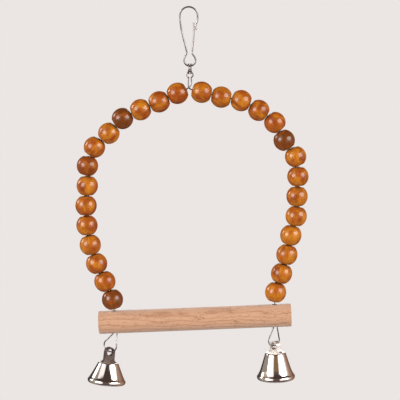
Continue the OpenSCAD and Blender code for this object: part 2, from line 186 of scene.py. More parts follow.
class BeadSizes(bpy.types.PropertyGroup):
    """The beads."""

    width: length("Width", "Diameter of a bead across its bore", 12)
    height: length("Height", "Length that a bead takes up on its string", 11)
    face: length("Face", "Diameter of the flatter face around each mouth of the bore", 6.6)
    face_h: length("Face height", "Distance between the mouths of the bore of the shortest bead", 10.68)
    gap: length("Gap", "Smallest gap between two beads", 0.12)
    bore: length("Bore", "Diameter of the bore", 2.8)
    bevel: length("Bevel", "Rounding at the mouths of the bore", 0.3)


class PerchSizes(bpy.types.PropertyGroup):
    """The perch."""

    width: length("Diameter", "Diameter of the perch", 13)
    end: length("End", "Length of the perch beyond each hole", 9)
    hole: length("Hole", "Diameter of the two wire holes", 3.2)
    bevel: length("Bevel", "Softening of the sawn right end", 0.3)
    round: length("Rounding", "Rounding of the sanded left end", 0.7)


class BellSizes(bpy.types.PropertyGroup):
    """The bells, with their hangers, staples and clappers."""

    height: lengths("Height", "Height of each bell's shell", 12, 15.3)
    crown_d: length("Crown", "Diameter of the crown", 12)
    waist_d: length("Waist", "Diameter where the flare starts", 18)
    rim_d: length("Rim", "Diameter at the rim", 21.8)
    wall: length("Wall", "Thickness of the sheet", 0.6)
    shoulder_r: length("Shoulder", "Rounding of the crown's edge", 0.9)
    flare_h: length("Flare", "Height of the flare above the rim band", 2.2)
    band_h: length("Band", "Height of the rim band", 2.8)
    band_round: length("Band rounding", "How far the rolled band curves in at its edges", 0.9)
    hanger_w: length("Hanger width", "Width of the hanger's tab", 5.8)
    hanger_h: lengths("Hanger height", "Height of each hanger", 8.6, 6.5)
    hanger_t: length("Hanger depth", "Depth of the hanger, along its hole", 3)
    hanger_rim: length("Hanger rim", "Width of the metal around the hanger's hole", 0.9)
    foot_l: length("Foot", "How far each foot of the hanger spreads on the crown", 1.5)
    hanger_shine: pair("Hanger shine", "How bright each hanger still is", 0.06, 0.95, min=0, max=1)
    slack: length("Slack", "Height from the loop's wire to the top of the hanger's hole", 1.3)
    turn: angles("Hanger turn", "Turn of each hanger about the vertical", 27, -46)
    lean_front: angles("Lean to the front", "How far each mouth swings to the front", -4, 0)
    lean_side: angles("Lean to the side", "How far each mouth swings to the side", 6, -1.5)
    staple_wire: length("Staple wire", "Thickness of the staple in the crown", 0.7)
    staple_r: length("Staple radius", "Radius of the staple's bow, to the middle of the wire", 1.1)
    staple_leg: length("Staple leg", "Straight length of the staple below the crown", 0.6)
    rod: length("Clapper wire", "Thickness of the clapper's wire", 0.6)
    rod_eye_r: length("Clapper eye", "Radius of the clapper's eye, to the middle of the wire", 0.9)
    ball_d: length("Ball", "Diameter of the clapper's ball", 5)
    ball_rise: length("Ball rise", "Height of the ball's centre above the mouth", 2.6)
    play: length("Play", "Play of the small wires in their holes", 0.05)


class Finishes(bpy.types.PropertyGroup):
    """Colours and finishes."""

    bead_gold: colour("Bead gold", "The lightest streaks of the beads", 0.52, 0.185, 0.011)
    bead_brown: colour("Bead brown", "The middle brown of the beads", 0.37, 0.088, 0.007)
    bead_red: colour("Bead red", "The reddish patches of the beads", 0.22, 0.038, 0.005)
    # The stain of the dark beads, and also the painted shade around each mouth of the bore where the beads
    # meet
    bead_stain_and_shade: colour("Bead dark", "The stain of the dark beads", 0.125, 0.038, 0.005)
    beech: colour("Beech", "The pale wood of the perch", 0.53, 0.315, 0.197)
    beech_band: colour("Beech band", "The browner year bands of the perch", 0.41, 0.21, 0.115)
    beech_fleck: colour("Beech fleck", "The short dark flecks of the perch", 0.22, 0.08, 0.035)
    steel: colour("Steel", "The bright wires", 0.36, 0.34, 0.33)
    nickel: colour("Nickel", "The plated bells", 0.86, 0.82, 0.79)
    tarnish: colour("Tarnish", "The dull film on the plate", 0.1, 0.07, 0.06)


class StageSizes(bpy.types.PropertyGroup):
    """The camera, the lamps and the floor."""

    aim: FloatVectorProperty(
        name="Aim",
        description="Point the camera looks at",
        size=3,
        default=(6.22 * MM, 0, -106.97 * MM),
        unit="LENGTH",
    )
    distance: length("Distance", "From the camera to the point it looks at", 900)
    height: FloatProperty(
        name="Camera height", description="How far the camera looks down", default=radians(8), unit="ROTATION"
    )
    width: length("Picture width", "Width of the picture at the point the camera looks at", 224)
    lamp_distance: length("Lamp distance", "From the lamps to the swing", 1300)
    floor_drop: length("Floor drop", "How far the floor lies below the hook", 1400)
    floor_r: length("Floor radius", "Radius of the round floor", 600)
    floor_border: length("Floor border", "Width of the floor's border", 200)
    floor_pale: colour("Floor", "The pale paper of the floor", 0.55, 0.53, 0.52)
    floor_dull: colour("Floor clouds", "The duller clouds of the floor's paper", 0.5, 0.48, 0.47)
    backdrop: colour("Backdrop", "What the camera sees behind the swing", 0.83, 0.79, 0.775)


GROUPS = {
    "hook": HookSizes,
    "ring": RingSizes,
    "wires": WireSizes,
    "beads": BeadSizes,
    "perch": PerchSizes,
    "bells": BellSizes,
    "finishes": Finishes,
    "stage": StageSizes,
}


def sizes(name):
    """One of the scene's groups of sizes."""
    return getattr(bpy.context.scene, "swing_" + name)


# Lines and places


def flat(x, z):
    """A point in the plane of the swing."""
    return Vector((x, 0, z))


def bend(start, first, second, stop, steps):
    """Points along a curve with two handles, without its first point."""
    line = []
    for k in range(1, steps + 1):
        t = k / steps
        u = 1 - t
        line.append(u**3 * start + 3 * u * u * t * first + 3 * u * t * t * second + t**3 * stop)
    return line


def arc(centre, radius, start, stop, steps):
    """Points along an arc in the plane of the swing, both ends included, with its angles in degrees."""
    turns = [radians(start + (stop - start) * k / steps) for k in range(steps + 1)]
    return [centre + radius * flat(cos(a), sin(a)) for a in turns]


def heading(side, number):
    """The way down a string at one of its beads, counted from 1."""
    return Vector(JOINTS[f"bead_{side}_{number:02d}_spin"]["axis"])


def bead_place(side, number):
    """The middle of a bead."""
    return Vector(JOINTS[f"bead_{side}_{number:02d}_spin"]["pos_m"])


def hole_top(k):
    """Where a wire goes into the perch."""
    side, lean = SIDES[k], sizes("wires").last_lean[k]
    down = flat(OUTWARDS[side] * sin(lean), -cos(lean))
    reach = sizes("beads").height / 2 + sizes("wires").seat_gap[k]
    return bead_place(side, BEADS) + reach * down


def perch_along():
    """The way along the perch to the right."""
    return (hole_top(1) - hole_top(0)).normalized()


def perch_down():
    """The way down through the perch."""
    along = perch_along()
    return flat(along.z, -along.x)


def hole_foot(k):
    """The middle of the same hole where it comes out of the perch."""
    return hole_top(k) + sizes("perch").width * perch_down()


def bell_matrix(k):
    """Where a bell hangs, with the loop's wire at its origin."""
    s = sizes("bells")
    seat = Vector(JOINTS[f"bell_{SIDES[k]}_swing"]["pos_m"])
    leans = Matrix.Rotation(s.lean_side[k], 4, "Y") @ Matrix.Rotation(s.lean_front[k], 4, "X")
    return Matrix.Translation(seat) @ leans @ Matrix.Rotation(s.turn[k], 4, "Z")


def crown_matrix(k):
    """The same with the top of the bell's crown at its origin."""
    s = sizes("bells")
    drop = sizes("wires").wire / 2 + s.slack + s.hanger_rim - s.hanger_h[k]
    return bell_matrix(k) @ Matrix.Translation((0, 0, drop))


# Modelling


def deselect():
    """Leaves edit mode and lets go of everything."""
    if bpy.context.object and bpy.context.object.mode != "OBJECT":
        bpy.ops.object.mode_set(mode="OBJECT")
    bpy.ops.object.select_all(action="DESELECT")


def hold(obj):
    """Makes one object the selected and active one."""
    deselect()
    obj.select_set(True)
    bpy.context.view_layer.objects.active = obj


def drawn(name, points, closed=False):
    """A bare line of edges through some points."""
    edges = [(i, i + 1) for i in range(len(points) - 1)]
    if closed:
        edges.append((len(points) - 1, 0))
    mesh = bpy.data.meshes.new(name)
    mesh.from_pydata([tuple(p) for p in points], edges, [])
    obj = bpy.data.objects.new(name, mesh)
    bpy.context.scene.collection.objects.link(obj)
    hold(obj)
    return obj


def select(obj, test):
    """Selects, in edit mode, the faces that pass a test."""
    bpy.ops.object.mode_set(mode="EDIT")
    bpy.ops.mesh.select_mode(type="FACE")
    bpy.ops.mesh.select_all(action="DESELECT")
    bpy.ops.object.mode_set(mode="OBJECT")
    for face in obj.data.polygons:
        face.select = test(face)
    bpy.ops.object.mode_set(mode="EDIT")


def tidy(obj, smooth=35):
    """Merges what lies together, turns the faces outwards and shades smoothly up to an angle in degrees."""
    hold(obj)
    bpy.ops.object.mode_set(mode="EDIT")
    bpy.ops.mesh.select_mode(type="VERT")
    bpy.ops.mesh.select_all(action="SELECT")
    bpy.ops.mesh.remove_doubles(threshold=0.001 * MM)
    bpy.ops.mesh.normals_make_consistent(inside=False)
    bpy.ops.object.mode_set(mode="OBJECT")
    bpy.ops.object.shade_smooth_by_angle(angle=radians(smooth))


def turned(name, outline, steps, closed=True):
    """A piece turned on a lathe: an outline of radius and height, spun about the upright axis."""
    obj = drawn(name, [flat(r, z) for r, z in outline], closed)
    bpy.ops.object.mode_set(mode="EDIT")
    bpy.ops.mesh.select_all(action="SELECT")
    bpy.ops.mesh.spin(steps=steps, angle=2 * pi, center=(0, 0, 0), axis=(0, 0, 1))
    tidy(obj)
    return obj


def wire(name, line, thickness):
    """A round wire along a line of points, with its cut ends softened."""
    softening = 0.22 * thickness
    curve = bpy.data.curves.new(name, "CURVE")
    curve.dimensions = "3D"
    curve.bevel_depth = thickness / 2
    curve.bevel_resolution = 6
    curve.use_fill_caps = True
    spline = curve.splines.new("POLY")
    spline.points.add(len(line) - 1)
    for point, place in zip(spline.points, line):
        point.co = (*place, 1)
    obj = bpy.data.objects.new(name, curve)
    bpy.context.scene.collection.objects.link(obj)
    hold(obj)
    bpy.ops.object.convert(target="MESH")
    obj = bpy.context.object
    tidy(obj, 50)
    select(obj, lambda face: len(face.vertices) > 4)
    bpy.ops.mesh.bevel(offset=softening, segments=3, affect="EDGES")
    tidy(obj, 50)
    return obj


def apply_all(obj):
    """Applies the modifiers in order."""
    hold(obj)
    for modifier in list(obj.modifiers):
        bpy.ops.object.modifier_apply(modifier=modifier.name)


def mark(obj, turn=0, shift=0, tone=0.5):
    """Keeps on each vertex its place in its own wood or metal, in millimetres, and the piece's tone."""
    mesh = obj.data
    spin = Matrix.Rotation(turn, 3, "Z")
    grain = mesh.attributes.new("grain", "FLOAT_VECTOR", "POINT")
    for vertex, item in zip(mesh.vertices, grain.data):
        item.vector = spin @ vertex.co / MM + Vector((0, 0, shift))
    mesh.attributes.new("tone", "FLOAT", "POINT").data.foreach_set("value", [tone] * len(mesh.vertices))


def settle(obj, body, slot, node, matrix=None, finish=None):
    """Puts a finished piece in its place, on its body, in its finish, and in the stead of its CAD node."""
    if matrix is not None:
        obj.data.transform(matrix)
    obj.data.materials.clear()
    obj.data.materials.append(finish_of(finish or slot))
    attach(obj, body)
    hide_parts(node)
    deselect()
    return obj


# Finishes


class Term:
    """A value in a material, which can be added, multiplied and mixed."""

    def __init__(self, paint, socket):
        self.paint, self.socket = paint, socket

    def __add__(self, other):
        return self.paint.maths("ADD", self, other)

    def __sub__(self, other):
        return self.paint.maths("SUBTRACT", self, other)

    def __rsub__(self, other):
        return self.paint.maths("SUBTRACT", other, self)

    def __mul__(self, other):
        return self.paint.maths("MULTIPLY", self, other)

    def __pow__(self, other):
        return self.paint.maths("POWER", self, other)

    __radd__ = __add__
    __rmul__ = __mul__

    def step(self, low, high):
        """0 below low, 1 above high, and smooth in between."""
        settings = {"interpolation_type": "SMOOTHSTEP"}
        inputs = {"Value": self, "From Min": low, "From Max": high}
        return self.paint.node("ShaderNodeMapRange", settings, inputs)

    def between(self, low, high, soft=3):
        """1 between low and high and 0 outside them, with soft edges."""
        return self.step(low - soft, low + soft) * (1 - self.step(high - soft, high + soft))

    def mix(self, first, second):
        """The first colour where this is 0, and the second where it is 1."""
        return self.paint.node("ShaderNodeMix", {"data_type": "RGBA"}, {0: self, 6: first, 7: second}, 2)


class Nodes:
    """The nodes of a material or of the world."""

    def __init__(self, owner):
        owner.use_nodes = True
        self.tree = owner.node_tree

    def feed(self, socket, value):
        """Links a term to a socket, or sets a plain value on it."""
        if isinstance(value, Term):
            self.tree.links.new(value.socket, socket)
        elif isinstance(value, (int, float)) or len(value) == len(socket.default_value):
            socket.default_value = value
        else:
            socket.default_value = (*value, 1)

    def node(self, kind, settings, inputs, output=0):
        """A new node with its settings made first, and one of its outputs."""
        node = self.tree.nodes.new(kind)
        for key, value in settings.items():
            setattr(node, key, value)
        for key, value in inputs.items():
            self.feed(node.inputs[key], value)
        return Term(self, node.outputs[output])

    def maths(self, operation, *values):
        """A sum or function of terms and numbers."""
        return self.node("ShaderNodeMath", {"operation": operation}, dict(enumerate(values)))

    def attribute(self, name, output):
        """What the mesh keeps under a name."""
        return self.node("ShaderNodeAttribute", {"attribute_name": name}, {}, output)

    def stretched(self, vector, x, y, z):
        """A vector with each part times its own number."""
        return self.node("ShaderNodeVectorMath", {"operation": "MULTIPLY"}, {0: vector, 1: (x, y, z)})

    def parts(self, vector):
        """The three parts of a vector."""
        node = self.tree.nodes.new("ShaderNodeSeparateXYZ")
        self.feed(node.inputs[0], vector)
        return [Term(self, socket) for socket in node.outputs]

    def noise(self, vector, scale, detail=2, roughness=0.5, distortion=0):
        """Soft random clouds from 0 to 1."""
        inputs = {"Vector": vector, "Scale": scale, "Detail": detail, "Roughness": roughness}
        return self.node("ShaderNodeTexNoise", {}, inputs | {"Distortion": distortion}, "Fac")

    def camera_sees(self):
        """1 for what the camera sees straight, 0 for what lights or is mirrored."""
        return self.node("ShaderNodeLightPath", {}, {}, "Is Camera Ray")


class Paint(Nodes):
    """A material."""

    def __init__(self, name, **shader):
        self.material = bpy.data.materials.new(name)
        super().__init__(self.material)
        self.shader = self.tree.nodes["Principled BSDF"]
        for key, value in shader.items():
            self.shader.inputs[key.replace("_", " ")].default_value = value

    def set(self, name, value):
        """Sets one of the shader's inputs."""
        self.feed(self.shader.inputs[name], value)

    def bump(self, height, strength, distance):
        """Raises the surface by a height from 0 to 1."""
        inputs = {"Height": height, "Strength": strength, "Distance": distance}
        self.set("Normal", self.node("ShaderNodeBump", {}, inputs, "Normal"))


def bead_wood():
    """Varnished beads: soft blotches of stain, fine fibres along the bore, and around each mouth of the bore
    darker end-grain stain with painted shade where the beads meet.
    """
    c = sizes("finishes")
    # Where the darkening around each mouth of the bore starts and is full, in millimetres from the middle:
    # part end-grain stain and part painted shade where the beads meet
    mouth_shade_from, mouth_shade_to = 3.4, 5.6
    paint = Paint("bead_wood", Coat_Weight=0.9, Coat_Roughness=0.13, Coat_IOR=1.5, Specular_IOR_Level=0.05)
    place = paint.attribute("grain", "Vector")
    tone = paint.attribute("tone", "Fac")
    blotch = paint.noise(paint.stretched(place, 1, 1, 0.8), 0.16, 1, 0.5, 0.5)
    patch = paint.noise(paint.stretched(place, 1, 1, 0.7), 0.24, 2, 0.45, 0.4)
    figure = paint.noise(paint.stretched(place, 1, 1, 0.25), 0.7, 2, 0.55, 0.8)
    fibre = paint.noise(paint.stretched(place, 1, 1, 0.12), 3.2, 3, 0.6)
    gold = (blotch + tone * 0.3 - 0.15).step(0.36, 0.68)
    red = (patch - tone * 0.16).step(0.33, 0.61)
    wood = gold.mix(c.bead_brown, c.bead_gold)
    wood = (red * 0.85).mix(wood, c.bead_red)
    along = paint.maths("WRAP", paint.parts(place)[2], -BLANK / 2, BLANK / 2)
    # Painted shade where the beads meet, together with darker stain in the end grain, around each mouth of
    # the bore
    mouth = paint.maths("ABSOLUTE", along).step(mouth_shade_from, mouth_shade_to)
    wood = (mouth * 0.45).mix(wood, c.bead_stain_and_shade)
    stain = (0.35 - tone).step(0, 0.3)
    dark = stain * (0.45 + (patch * 0.7 + figure * 0.3).step(0.36, 0.56) * 0.55)
    wood = dark.mix(wood, c.bead_stain_and_shade)
    streak = (figure.step(0.3, 0.7) * 0.6 + fibre * 0.4).step(0.25, 0.75)
    wood = ((1 - streak) * 0.35).mix(wood, c.bead_red)
    paint.set("Base Color", wood)
    paint.set("Roughness", 0.5 + fibre * 0.2)
    paint.bump(fibre * 0.5 + figure * 0.5, 0.1, 0.1 * MM)
    return paint.material


def beech():
    """The perch: plain beech with faint year bands, short dark flecks and fine pores."""
    c = sizes("finishes")
    # The year rings: how far below lies their middle, how far they wander and slope, how close they lie
    pith_below, wander, slope, rings = 14, 9, 0.025, 2.6
    paint = Paint("perch_wood", Specular_IOR_Level=0.25, Sheen_Weight=0.6, Sheen_Roughness=0.5)
    place = paint.attribute("grain", "Vector")
    drift = paint.noise(paint.stretched(place, 0.03, 0.12, 0.12), 1, 2, 0.5)
    x, y, z = paint.parts(place)
    above_pith = z + pith_below
    depth = (y * y + above_pith * above_pith) ** 0.5 + drift * wander + x * slope
    ring = paint.maths("SINE", depth * rings) * 0.5 + 0.5
    fine = paint.noise(paint.stretched(place, 0.14, 2.4, 2.4), 1, 3, 0.6)
    cloud = paint.noise(paint.stretched(place, 0.08, 0.3, 0.3), 1, 2, 0.5)
    band = ring.step(0.35, 1) * 0.35 + fine.step(0.35, 0.75) * 0.4 + cloud * 0.3
    wood = (band * 0.8).mix(c.beech, c.beech_band)
    line = ring.step(0.8, 0.99) * fine.step(0.35, 0.6)
    wood = (line * 0.4).mix(wood, c.beech_fleck)
    dash = paint.noise(paint.stretched(place, 0.55, 3.2, 3.2), 1, 1, 0.4)
    where = paint.noise(paint.stretched(place, 0.15, 0.5, 0.5), 1, 1, 0.5)
    fleck = dash.step(0.58, 0.68) * where.step(0.38, 0.55)
    wood = (fleck * 0.8).mix(wood, c.beech_fleck)
    paint.set("Base Color", wood)
    paint.set("Roughness", 0.62 + fine * 0.15)
    paint.bump(fine * 0.6 + (1 - fleck) * 0.4, 0.2, 0.08 * MM)
    return paint.material


def bright_wire(name, tint, roughness):
    """Drawn wire: bright, with faint drawing marks and small dull spots."""
    paint = Paint(name, Metallic=1.0)
    place = paint.node("ShaderNodeTexCoord", {}, {}, "Object")
    spots = paint.noise(place, 180, 2, 0.6)
    marks = paint.noise(paint.stretched(place, 1, 1, 0.2), 5000, 2, 0.5)
    shade = tuple(0.4 * part for part in tint)
    paint.set("Base Color", (spots.step(0.4, 0.65) * 0.8).mix(tint, shade))
    paint.set("Roughness", roughness + spots * 0.1)
    paint.bump(marks, 0.15, 0.02 * MM)
    return paint.material


def plate(name, roughness, dull, waves):
    """Nickel plate with spun waves, hairline scratches and a dull film, thick on a worn piece."""
    c = sizes("finishes")
    paint = Paint(name, Metallic=1.0)
    place = paint.attribute("grain", "Vector")
    worn = 1 - paint.attribute("tone", "Fac")
    wave = paint.noise(paint.stretched(place, 0.16, 0.16, 0.1), 1, 1, 0.5)
    hair = paint.noise(paint.stretched(place, 1.2, 1.2, 14), 1, 2, 0.6)
    film_at = paint.noise(place, 0.35, 3, 0.6)
    pits = paint.noise(place, 5, 2, 0.5)
    cover = worn + film_at.step(0.5, 0.75) * dull + pits.step(0.68, 0.78) * 0.35
    paint.set("Base Color", cover.mix(c.nickel, c.tarnish))
    paint.set("Roughness", roughness + worn * 0.1 + hair * 0.05 + film_at.step(0.45, 0.8) * 0.08)
    paint.bump(wave, 1, waves * MM)
    return paint.material


@cache
def finish_of(name):
    """The material of a finish, made when it is first asked for."""
    c = sizes("finishes")
    makers = {
        "hook_wire": lambda: bright_wire("hook_wire", c.steel, 0.26),
        "ring_wire": lambda: bright_wire("ring_wire", c.steel, 0.3),
        "arch_wire": lambda: bright_wire("arch_wire", c.steel, 0.26),
        "clapper_wire": lambda: bright_wire("clapper_wire", c.steel, 0.28),
        "perch_wood": beech,
        "bead_wood": bead_wood,
        "bell_nickel": lambda: plate("bell_nickel", 0.04, 0.1, 0.05),
        "bell_hanger": lambda: plate("bell_hanger", 0.42, 0.2, 0.03),
        "clapper_ball": lambda: plate("clapper_ball", 0.12, 0.3, 0.01),
    }
    return makers[name]()


# Pieces


class SWING_OT_hook(bpy.types.Operator):
    """Bends the sprung hook and its gate"""

    bl_idname = "swing.hook"
    bl_label = "Hook"

    def execute(self, context):
        s = sizes("hook")
        bow = flat(0, s.wire / 2 - s.bow_r)
        waist_z = bow.z - s.leg_h
        left = flat(s.waist_set - s.waist_w / 2, waist_z)
        right = flat(s.waist_set + s.waist_w / 2, waist_z)
        loop = flat(s.loop_set, waist_z - s.neck_h)
        # Shares of the keeper's height and of its bend, from its tip up
        keeper = [(1, 0.5), (0.88, 0.85), (0.74, 1), (0.6, 0.92), (0.46, 0.5), (0.33, 0.08), (0.15, 0)]
        line = [flat(s.bow_r - s.keeper_in * bent, bow.z - s.keeper_h * down) for down, bent in keeper]
        line += arc(bow, s.bow_r, 0, 180, 48)
        line += bend(
            flat(-s.bow_r, bow.z),
            flat(-s.bow_r, bow.z - s.leg_h * 0.36),
            left + flat(-s.bow_r * 0.13, s.leg_h * 0.2),
            left,
            24,
        )
        high, low = flat(0, s.neck_h * 0.3), flat(0, s.neck_h * 0.4)
        beside = flat(s.loop_r, 0)
        line += bend(left, left - high, loop - beside + low, loop - beside, 10)
        line += arc(loop, s.loop_r, 180, 360, 32)[1:]
        stop = right - flat(0, s.wire / 2 + s.play)
        line += bend(loop + beside, loop + beside + low, right - high, stop, 10)
        settle(wire("hook_bend", line, s.wire), "hook", "hook_wire", "hook")

        tip = flat(s.bow_r - s.keeper_in - s.wire - s.gate_gap - s.wire / 4, bow.z - s.keeper_h * 0.46)
        rise = tip.z - right.z
        line = [right] + bend(
            right,
            right + flat(s.waist_w / 8, rise * 0.28),
            tip + flat(s.bow_r * 0.14, -rise * 0.27),
            tip,
            24,
        )
        settle(wire("hook_gate_leg", line, s.wire), "gate", "hook_wire", "hook_gate")
        return {"FINISHED"}


class SWING_OT_ring(bpy.types.Operator):
    """Winds the link ring: one wire in two flat turns, which cross over behind"""

    bl_idname = "swing.ring"
    bl_label = "Link ring"

    def execute(self, context):
        s, hook = sizes("ring"), sizes("hook")
        link = Vector(JOINTS["ring_swing"]["pos_m"])
        centre = link + Vector((0, 0, (hook.wire + s.wire) / 2 + s.play - s.radius))
        start, stop, cross, cross_over = 45, 675, 330, 60
        line = []
        for turn in range(start, stop + 1, 5):
            a = radians(turn)
            across = s.pitch * (max(0, min(1, (turn - cross) / cross_over)) - 0.5)
            line.append(centre + Vector((across, s.radius * cos(a), s.radius * sin(a))))
        settle(wire("link_ring_turns", line, s.wire), "ring", "ring_wire", "link_ring")
        return {"FINISHED"}


class SWING_OT_wires(bpy.types.Operator):
    """Threads the two wires: eye, shank, string of beads, perch, bell loop and tucked end"""

    bl_idname = "swing.wires"
    bl_label = "Arch wires"

    def execute(self, context):
        for k, side in enumerate(SIDES):
            line = self.top(k, side) + self.string(k, side) + self.drop(k, side)
            name = f"wire_{side}"
            settle(wire(name + "_run", line, sizes("wires").wire), "arch", "arch_wire", name)
        return {"FINISHED"}

    def top(self, k, side):
        """The eye on the ring and the shank down to the first bead, before or behind its neighbour."""
        s, out = sizes("wires"), OUTWARDS[side]
        eye = Vector(JOINTS["side_swing"]["pos_m"])
        line = [eye + flat(out * p.x, p.z) for p in arc(flat(0, 0), s.eye_r, -75, 235, 44)]
        foot = eye + flat(-out * s.eye_r / 2, -s.shank_h)
        mouth = eye + flat(out * s.entry_out[k], -s.entry_drop[k])
        pull = (s.entry_drop[k] - s.shank_h) / 2
        leave = line[-1] + s.eye_r / 4 * flat(out, -1)
        line += bend(line[-1], leave, foot + flat(0, s.eye_r / 2), foot, 8)
        line += bend(foot, foot - flat(0, pull), mouth - pull * heading(side, 1), mouth, 16)
        first = bead_place(side, 1).z
        for point in line:
            point.y = out * s.eye_spread / 2 * min(1, max(0, (point.z - first) / (s.entry_drop[k] / 2)))
        return line

    def string(self, k, side):
        """From the first bead to the bottom of the perch's hole."""
        down = perch_down()
        stops = [(bead_place(side, number), heading(side, number)) for number in range(1, BEADS + 1)]
        stops.append((hole_top(k), down))
        line = [stops[0][0]]
        for (start, leave), (stop, arrive) in zip(stops, stops[1:]):
            reach = (stop - start).length / 3
            line += bend(start, start + reach * leave, stop - reach * arrive, stop, 8)
        foot, reach = self.strand(k, -1), sizes("perch").width / 3
        return line + bend(stop, stop + reach * down, foot - reach * down, foot, 8)

    def strand(self, k, way):
        """Where a strand leaves the bottom of the perch's hole."""
        aside = way * OUTWARDS[SIDES[k]] * sizes("wires").strand_gap / 2
        return hole_foot(k) - aside * perch_along()

    def drop(self, k, side):
        """The bell loop, two strands that run onto a round bottom, and the end tucked back up the hole."""
        s, way = sizes("wires"), OUTWARDS[side]
        down, foot, r = perch_down(), hole_foot(k), s.drop_r[k]
        centre = foot + flat(s.drop_set[k], r - s.drop_h[k])
        start, stop = self.strand(k, -1), self.strand(k, 1)
        a, b = start - centre, stop - centre
        first = degrees(atan2(a.z, a.x)) - way * degrees(acos(r / a.length))
        last = degrees(atan2(b.z, b.x)) + way * degrees(acos(r / b.length)) - way * 360
        bottom = arc(centre, r, first, last, 48)
        line = [start.lerp(bottom[0], i / 8) for i in range(1, 8)] + bottom
        line += [bottom[-1].lerp(stop, i / 8) for i in range(1, 9)]
        for point in line:
            share_down = max(0, min(1, (foot.z - point.z) / (s.drop_h[k] - r)))
            middle = foot.x + s.drop_set[k] * share_down
            point.y = (point.x - middle) * tan(s.drop_turn[k] * share_down)
        return line + [stop - s.tuck_h / 2 * down, stop - s.tuck_h * down]


class SWING_OT_beads(bpy.types.Operator):
    """Turns one bead and strings its copies on the two wires"""

    bl_idname = "swing.beads"
    bl_label = "Beads"

    def execute(self, context):
        s = sizes("beads")
        r, bore = s.width / 2, s.bore / 2
        edge = degrees(acos(s.face / 2 / r))
        outline = [(p.x, p.z) for p in arc(flat(0, 0), r, edge, -edge, 44)]
        mouth = arc(flat(bore + s.bevel, s.bevel - s.face_h / 2), s.bevel, -90, -180, 4)
        outline += [(p.x, p.z) for p in mouth] + [(p.x, -p.z) for p in reversed(mouth)]
        master = turned("bead", outline, 64)
        for side in SIDES:
            for number in range(1, BEADS + 1):
                name = f"bead_{side}_{number:02d}"
                obj = master.copy()
                obj.data = master.data.copy()
                obj.name = name + "_wood"
                context.scene.collection.objects.link(obj)
                tone = TONES[side][(number - 1) % len(TONES[side])]
                # The right wire's beads come from one end of the rod and the left wire's from the other
                blank = number + 16 * OUTWARDS[side]
                mark(obj, turn=number * BLANK_TURN + OUTWARDS[side], shift=blank * BLANK, tone=tone)
                obj.data.transform(Matrix.Diagonal((1, 1, self.stretch(side, number), 1)))
                up = -heading(side, number)
                lean = Matrix.Rotation(atan2(up.x, up.z), 4, "Y")
                matrix = Matrix.Translation(bead_place(side, number)) @ lean
                slot = "bead_wood_dark" if tone < STAINED else "bead_wood"
                settle(obj, name, slot, name, matrix, "bead_wood")
        bpy.data.objects.remove(master)
        return {"FINISHED"}

    def stretch(self, side, number):
        """How much longer than the shortest one a bead is, so that it nearly touches its neighbours."""
        s = sizes("beads")
        face = s.bore * 1.4
        room = []
        for other in {max(1, number - 1), min(BEADS, number + 1)} - {number}:
            half = heading(side, number).angle(heading(side, other)) / 2
            reach = (bead_place(side, other) - bead_place(side, number)).length - s.gap
            room.append((reach - face * sin(half)) / cos(half))
        return min(max(1, min(room) / s.face_h), s.height / s.face_h)


class SWING_OT_perch(bpy.types.Operator):
    """Shapes the perch: a round rod with a sanded and a sawn end, bored for the two wires"""

    bl_idname = "swing.perch"
    bl_label = "Perch"

    def execute(self, context):
        s = sizes("perch")
        along, down = perch_along(), perch_down()
        left, right = hole_top(0), hole_top(1)
        span = (right - left).length
        whole = span + 2 * s.end
        deselect()
        bpy.ops.mesh.primitive_cylinder_add(
            vertices=128, radius=s.width / 2, depth=whole, rotation=(0, pi / 2, 0), end_fill_type="NGON"
        )
        obj = context.object
        bpy.ops.object.transform_apply(location=True, rotation=True, scale=True)
        for way, amount, steps in ((1, s.bevel, 3), (-1, s.round, 5)):
            select(obj, lambda face: face.center.x * way > whole * 0.49 and len(face.vertices) > 4)
            bpy.ops.mesh.bevel(offset=amount, segments=steps, affect="EDGES")
            bpy.ops.object.mode_set(mode="OBJECT")
        for way in (-1, 1):
            deselect()
            bpy.ops.mesh.primitive_cylinder_add(
                vertices=48, radius=s.hole / 2, depth=2 * s.width, location=(way * span / 2, 0, 0)
            )
            drill = context.object
            cut = obj.modifiers.new("hole", "BOOLEAN")
            cut.object, cut.operation, cut.solver = drill, "DIFFERENCE", "EXACT"
            apply_all(obj)
            bpy.data.objects.remove(drill)
        tidy(obj, 30)
        obj.name = "perch_rod"
        mark(obj)
        middle = (left + right) / 2 + s.width / 2 * down
        matrix = Matrix.Translation(middle) @ Matrix.Rotation(-atan2(along.z, along.x), 4, "Y")
        settle(obj, "arch", "perch_wood", "perch", matrix)
        return {"FINISHED"}


